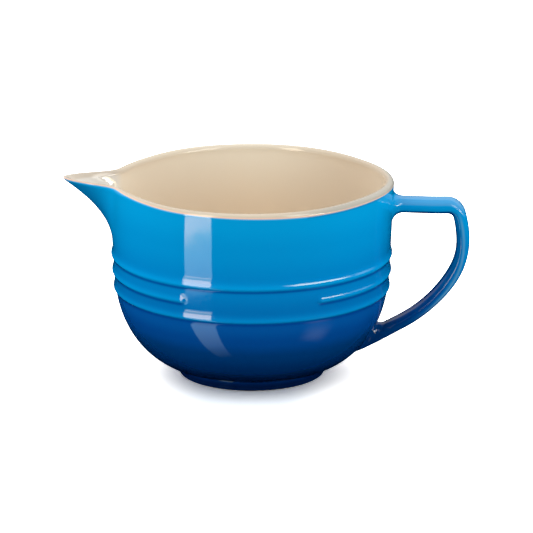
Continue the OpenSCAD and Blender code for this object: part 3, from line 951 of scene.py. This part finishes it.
def stage_object(name, points, faces, material_name):
    """An object of the stage with an empty node material; returns the object and the material's tree."""
    mesh = bpy.data.meshes.new(name)
    mesh.from_pydata(points, [], faces)
    obj = bpy.data.objects.new(name, mesh)
    bpy.context.scene.collection.objects.link(obj)
    material = bpy.data.materials.new(material_name)
    material.use_nodes = True
    material.node_tree.nodes.clear()
    mesh.materials.append(material)
    return obj, material.node_tree


def panel(name, azimuths, distance, bottoms, tall, levels, soft=0.0):
    """A studio panel seen only in reflections: a part of an upright cylinder round the bowl.

    azimuths are in degrees from the camera's side, to the left where negative, and bottoms the heights of
    the lower edge at them. levels are pairs of a height and a colour of light, from the lowest to the
    highest. Over the last soft degrees at each side the light falls to none.
    """
    a = np.linspace(azimuths[0], azimuths[-1], PANEL_COLUMNS)
    low = np.interp(a, azimuths, bottoms)
    a = np.radians(a)
    z = np.stack([low, low + tall])
    points = np.stack(np.broadcast_arrays(distance * np.sin(a), -distance * np.cos(a), z), -1).reshape(-1, 3)
    i = np.arange(PANEL_COLUMNS - 1)
    faces = np.stack([i, i + 1, i + 1 + PANEL_COLUMNS, i + PANEL_COLUMNS], -1)
    obj, tree = stage_object(name, points.tolist(), faces.tolist(), name)
    light = tree.nodes.new("ShaderNodeEmission")
    cut = separate(tree, tree.nodes.new("ShaderNodeTexCoord").outputs["Object"])
    bottom, top = levels[0][0], levels[-1][0]
    share = math_node(tree, "DIVIDE", math_node(tree, "SUBTRACT", cut["Z"], bottom), top - bottom)
    most = max(max(colour) for height, colour in levels)
    stops = []
    for height, colour in levels:
        stops.append(((height - bottom) / (top - bottom), tuple(c / most for c in colour)))
    tree.links.new(colour_ramp(tree, share, stops).outputs[0], light.inputs["Color"])
    light.inputs["Strength"].default_value = most
    if soft:
        half = math.radians(azimuths[-1] - azimuths[0]) / 2
        middle = math.radians(azimuths[-1] + azimuths[0]) / 2
        azimuth = math_node(tree, "ARCTAN2", cut["X"], math_node(tree, "MULTIPLY", cut["Y"], -1.0))
        off = math_node(tree, "ABSOLUTE", math_node(tree, "SUBTRACT", azimuth, middle), 0.0)
        fade = ramp_down(tree, off, half - math.radians(soft), half)
        tree.links.new(math_node(tree, "MULTIPLY", fade, most), light.inputs["Strength"])
    tree.links.new(light.outputs[0], tree.nodes.new("ShaderNodeOutputMaterial").inputs["Surface"])
    obj.visible_camera = obj.visible_diffuse = obj.visible_shadow = False


def level_panel(name, azimuths, distance, levels, soft=0.0):
    """A panel with level edges, from the lowest to the highest of its levels."""
    low, high = levels[0][0], levels[-1][0]
    panel(name, azimuths, distance, (low, low), high - low, levels, soft)


def even(colour):
    """Levels of one light."""
    return (0.0, colour), (1.0, colour)


def tinted(tint, level):
    """A light of a tint and a level."""
    return tuple(c * level for c in tint)


def tent():
    """The light of a white tent, brighter from above than from below, from the back and from the two sides.

    It isn't seen in reflections: the panels stand for its bright parts there.
    """
    world = bpy.data.worlds.new("tent")
    bpy.context.scene.world = world
    world.use_nodes = True
    tree = world.node_tree
    cut = separate(tree, tree.nodes.new("ShaderNodeTexCoord").outputs["Generated"])
    up = map_range(tree, cut["Z"], TENT_RISE, (TENT_LOW, TENT_HIGH))
    side = math_node(tree, "ADD", math_node(tree, "MULTIPLY", cut["X"], TENT_SIDE), 1.0)
    side = math_node(tree, "ADD", math_node(tree, "MULTIPLY", cut["Y"], TENT_BACK), side)
    both = math_node(tree, "MULTIPLY", math_node(tree, "MULTIPLY", cut["X"], cut["X"]), TENT_BOTH)
    light = tree.nodes["Background"]
    light.inputs["Color"].default_value = (1, 1, 1, 1)
    strength = math_node(tree, "MULTIPLY", up, math_node(tree, "ADD", both, side))
    tree.links.new(strength, light.inputs["Strength"])
    world.cycles_visibility.glossy = False


def floor():
    """A white floor, exposed brighter for the camera than for the light that it throws back on the bowl.

    The camera sees it as two diffuse shaders added up, brightest at both sides, with a bluish shadow painted
    under the bowl.
    """
    corners = [(x * FLOOR_HALF, y * FLOOR_HALF, 0) for x, y in ((-1, -1), (1, -1), (1, 1), (-1, 1))]
    obj, tree = stage_object("floor", corners, [(0, 1, 2, 3)], "floor_white")
    bounced = tree.nodes.new("ShaderNodeBsdfDiffuse")
    bounced.inputs["Color"].default_value = FLOOR_BOUNCE
    x = separate(tree, tree.nodes.new("ShaderNodeTexCoord").outputs["Object"])["X"]
    # A painted bluish shadow in a band under the bowl, white to both sides
    off = math_node(tree, "ABSOLUTE", math_node(tree, "SUBTRACT", x, FLOOR_MIDDLE_X), 0.0)
    painted_shadow = mix_colours(tree, ramp_down(tree, off, *FLOOR_CHANGE), FLOOR_SIDES, FLOOR_PAINTED_SHADOW)
    seen = tree.nodes.new("ShaderNodeAddShader")
    for socket in seen.inputs:
        half = tree.nodes.new("ShaderNodeBsdfDiffuse")
        tree.links.new(painted_shadow, half.inputs["Color"])
        tree.links.new(half.outputs[0], socket)
    pick = tree.nodes.new("ShaderNodeMixShader")
    tree.links.new(tree.nodes.new("ShaderNodeLightPath").outputs["Is Camera Ray"], pick.inputs[0])
    tree.links.new(bounced.outputs[0], pick.inputs[1])
    tree.links.new(seen.outputs[0], pick.inputs[2])
    tree.links.new(pick.outputs[0], tree.nodes.new("ShaderNodeOutputMaterial").inputs["Surface"])
    obj.visible_glossy = False


def studio():
    """White floor, a light tent for the soft light, and panels for the reflections.

    The strip on the left is in four parts, one above the other. The wall reflects each in its own zone.
    """
    floor()
    tent()
    level_panel("strip_belly", STRIP_SIDES, STRIP_AWAY, (
        (-2.0, tinted(BELLY_TINT, 0.0)), (-1.2, tinted(BELLY_TINT, 0.6)), (-0.35, tinted(BELLY_TINT, 2.6)),
        (-0.253, tinted(BELLY_TINT, 4.0))))
    level_panel("strip_band", STRIP_SIDES, STRIP_AWAY, (
        (-0.2105, tinted(COOL, 2.6)), (-0.172, tinted(COOL, 3.4))))
    level_panel("strip_middle", STRIP_SIDES, STRIP_AWAY, (
        (-0.172, tinted(COOL, 3.4)), (-0.161, STRIP_MIDDLE), (-0.157, STRIP_CREST), (-0.135, STRIP_CREST),
        (-0.12, STRIP_MIDDLE), (0.008, STRIP_MIDDLE), (0.015, STRIP_BAR)))
    level_panel("strip_high", STRIP_SIDES, STRIP_AWAY, (
        (0.015, STRIP_BAR), (0.24, STRIP_BAR), (0.3, tinted(WARM, 7)), (1.215, tinted(WARM, 7))))
    panel("right_panel", (22, 55, 88), RIGHT_AWAY, (0.272, 0.227, 0.155), 0.05, even((14, 11.5, 6.5)), 17.0)
    panel("right_faint", (74, 96, 117), RIGHT_AWAY, (0.17, 0.117, 0.045), 0.05, even((1.8, 1.9, 1.8)), 21.0)
    panel("corner_lamp", (48, 68), RIGHT_AWAY, (0.28, 0.28), 0.12, even((22, 22, 21)), 3.0)
    panel("right_high", (30, 60), RIGHT_AWAY, (0.5, 0.5), 0.9, even((6, 6, 5.6)), 6.0)
    level_panel("low_patch", (44, 82), RIGHT_AWAY, (
        (-0.98, (0, 0, 0)), (-0.78, (0.5, 0.6, 0.75)), (-0.66, (0.5, 0.6, 0.75)), (-0.48, (0, 0, 0))), 17.0)
    level_panel("back_panel", (120, 240), BACK_AWAY, (
        (0.15, (0.1, 0.1, 0.1)), (0.5, (0.5, 0.5, 0.5)), (1.4, (0.6, 0.6, 0.6))))


def camera():
    """The photograph's view: a long lens, a little above the bowl, looking along +Y."""
    look_z = 64.6 * MM
    shift_x = 8.825 * MM
    distance = 2529.8 * MM
    pitch = math.radians(15.91)
    focal_pixels = 4228.3
    frame_pixels = 533
    data = bpy.data.cameras.new("camera")
    data.sensor_width = 36
    data.lens = focal_pixels / frame_pixels * data.sensor_width
    data.clip_start = 0.1
    data.clip_end = 50
    obj = bpy.data.objects.new("camera", data)
    obj.location = (AXIS_X + shift_x, -distance * math.cos(pitch), look_z + distance * math.sin(pitch))
    obj.rotation_euler = (math.pi / 2 - pitch, 0, 0)
    bpy.context.scene.collection.objects.link(obj)
    bpy.context.scene.camera = obj


ANGLES = bowl_angles()
camera()
studio()
surface = surface_group()
blue_fade = fade_group("blue_fade", BLUE_FADE)
blue = glaze("blue_glaze", blue_fade, BLUE_UNEVEN, BLUE_LAYERS, BLUE_BORDER_MM, surface, BLUE_GLOSS)
cream_fade = fade_group("cream_fade", CREAM_FADE)
cream = glaze("cream_glaze", cream_fade, CREAM_UNEVEN, CREAM_LAYERS, CREAM_BORDER_MM, surface, CREAM_GLOSS)
clay = bare_stoneware()
dress(outer_glaze_coat(), blue, "blue_glaze", "outer_glaze", "spout_outer_glaze", "foot_glaze")
dress(inner_glaze_coat(), cream, "cream_glaze", "inner_glaze", "spout_inner_glaze")
dress(bowl_clay(), clay, "stoneware", "bowl_wall", "spout_wall")
dress(handle_glaze_coat(), blue, "blue_glaze", "handle_glaze", "upper_join", "lower_join")
for name in ("foot_ring", "handle_strap"):
    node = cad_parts[name]
    node.data.materials.clear()
    node.data.materials.append(clay)
bpy.context.scene.view_settings.view_transform = "Standard"
